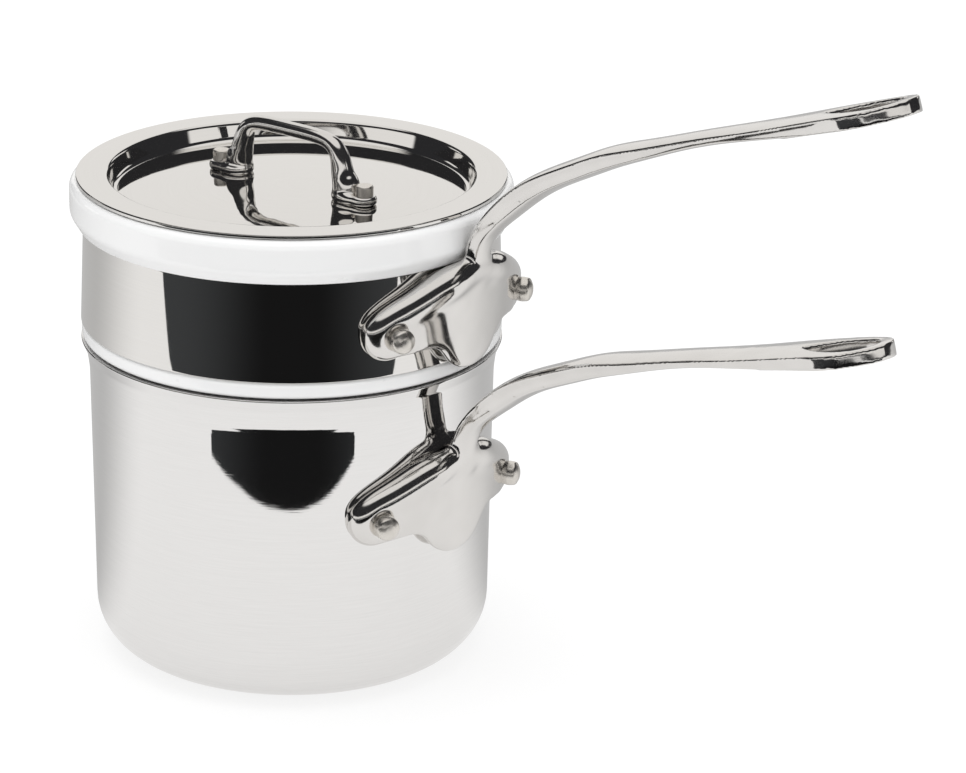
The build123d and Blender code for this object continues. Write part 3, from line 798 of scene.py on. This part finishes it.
by_metal = add_node(
    tree, "ShaderNodeMixShader",
    _0=path.outputs["Is Glossy Ray"], _1=by_eye.outputs[0], _2=reflected.outputs[0],
)
output = tree.nodes.new("ShaderNodeOutputMaterial")
tree.links.new(by_metal.outputs[0], output.inputs[0])
wear(table, table_white)

# %% Black card in front of the table, a sheet of painted shade
# Corners of the card, in millimetres to the right of the pan and away from the camera. The
# edge nearest to the pan is what draws the rounded patch.
CARD_CORNERS = [
    (-1600, -120), (-530, -184), (-380, -184), (-240, -228), (-184, -206), (-163, -187),
    (-100, -201), (-29, -206), (60, -208), (128, -213), (158, -252), (345, -262),
    (477, -321), (1600, -1000), (1600, -1600), (-1600, -1600),
]
CARD_HEIGHT = 0.4 * MM
PALE_FROM, PALE_TO = 0.2, 0.95
CARD_FRONT, CARD_SIDE = (0.008, 0.008, 0.0082), (0.042, 0.044, 0.046)
select_only(None)
bpy.ops.mesh.primitive_circle_add(vertices=len(CARD_CORNERS), fill_type="NGON", location=(0, 0, 0))
card = bpy.context.object
card.name = "painted_shade_card"
for vertex, (across, away) in zip(card.data.vertices, CARD_CORNERS):
    vertex.co = seen_from_camera(across * MM, away * MM, CARD_HEIGHT)
card.visible_camera = False
card.visible_diffuse = False
card.visible_shadow = False
card.visible_transmission = False
# The card stands in for the unlit room in front of the table, and only reflections see it: painted
# shade. Its tone is a little paler towards the sides, a painted shade that lightens there.
card_painted_shade, tree, shader = start_material("card_painted_shade")
shader.inputs["Specular IOR Level"].default_value = 0.0
shader.inputs["Roughness"].default_value = 0.9
spot = add_node(tree, "ShaderNodeTexCoord").outputs["Object"]
aside = number_math(tree, "ABSOLUTE", as_camera_sees(tree, spot)[0])
paler = smooth_range(tree, aside, PALE_FROM, PALE_TO)
card_tone = tone_between(tree, paler, CARD_FRONT, CARD_SIDE)
tree.links.new(card_tone, shader.inputs["Base Color"])
wear(card, card_painted_shade)

# %% [markdown]
# The room has a plain white ceiling of light. All round but for a gap at the back it is dark
# up to about fifty degrees, with a wide window and two small lamps near the horizon, and that
# gives the well of the lid its black bands with white patches. The camera itself sees white
# behind the object, and soft light comes evenly from above.

# %% Room
room = bpy.data.worlds.new("room")
bpy.context.scene.world = room
room.use_nodes = True
tree = room.node_tree
tree.nodes.clear()
look = add_node(tree, "ShaderNodeTexCoord").outputs["Generated"]
across, away, height = as_camera_sees(tree, look)
toward = number_math(tree, "MULTIPLY", away, -1.0)
bearing = number_math(tree, "ARCTAN2", across, toward)


def times(first, second):
    return number_math(tree, "MULTIPLY", first, second)


def less(value):
    return number_math(tree, "SUBTRACT", 1.0, value)


def between(value, low, high, soft):
    """1 between low and high, falling softly to 0 outside."""
    rises = smooth_range(tree, value, low - soft, low + soft)
    falls = smooth_range(tree, value, high - soft, high + soft)
    return times(rises, less(falls))


def patch_of_room(left, right, low, high, soft_height):
    """1 inside a patch given by its bearings in degrees and its heights on the unit sphere."""
    level = between(bearing, math.radians(left), math.radians(right), SOFT_BEARING)
    return times(level, between(height, low, high, soft_height))


SOFT_BEARING = math.radians(1.5)
FRONT_HALF = math.radians(158)
DARK_TOP, LIGHT_FOOT = math.sin(math.radians(50)), math.sin(math.radians(56))
WHITE_ROOM, DARK_ROOM = (0.88, 0.865, 0.845), (0.025, 0.025, 0.027)
ROOM_LIGHT = 0.95

front = between(bearing, -FRONT_HALF, FRONT_HALF, SOFT_BEARING)
low_sky = less(smooth_range(tree, height, DARK_TOP, LIGHT_FOOT))
dark = times(front, low_sky)
window = patch_of_room(left=-84, right=69, low=0.06, high=0.24, soft_height=0.01)
left_spot = patch_of_room(left=-132, right=-118, low=0.1, high=0.3, soft_height=0.02)
right_spot = patch_of_room(left=128, right=150, low=0.1, high=0.3, soft_height=0.02)
lamps = larger(tree, larger(tree, window, left_spot), right_spot)
mirrored = tone_between(tree, times(dark, less(lamps)), WHITE_ROOM, DARK_ROOM)

path = tree.nodes.new("ShaderNodeLightPath")
room_light = add_node(tree, "ShaderNodeBackground", Color=grey(1), Strength=ROOM_LIGHT)
room_mirrored = add_node(tree, "ShaderNodeBackground", Color=mirrored, Strength=1.0)
room_seen = add_node(tree, "ShaderNodeBackground", Color=grey(1), Strength=1.0)
lit_or_mirrored = add_node(
    tree, "ShaderNodeMixShader",
    _0=path.outputs["Is Glossy Ray"], _1=room_light.outputs[0], _2=room_mirrored.outputs[0],
)
direct = larger(tree, path.outputs["Is Camera Ray"], path.outputs["Is Transmission Ray"])
all_rays = add_node(
    tree, "ShaderNodeMixShader", _0=direct, _1=lit_or_mirrored.outputs[0], _2=room_seen.outputs[0]
)
output = tree.nodes.new("ShaderNodeOutputWorld")
tree.links.new(all_rays.outputs[0], output.inputs[0])

# %% Soft lamp overhead
LAMP_POWER, LAMP_SIZE = 7.0, 1.4
LAMP_PLACE = (-0.1, -0.2, 1.6)
lamp = bpy.data.objects.new("soft_lamp", bpy.data.lights.new("soft_lamp", "AREA"))
bpy.context.scene.collection.objects.link(lamp)
lamp.data.shape = "DISK"
lamp.data.size = LAMP_SIZE
lamp.data.energy = LAMP_POWER
lamp.location = seen_from_camera(*LAMP_PLACE)
lamp.rotation_euler = (-lamp.location).to_track_quat("-Z", "Y").to_euler()
lamp.visible_glossy = False
print("lamp at", [round(x, 2) for x in lamp.location])

# %% [markdown]
# Last, every piece is let go.

# %% The end
select_only(None)
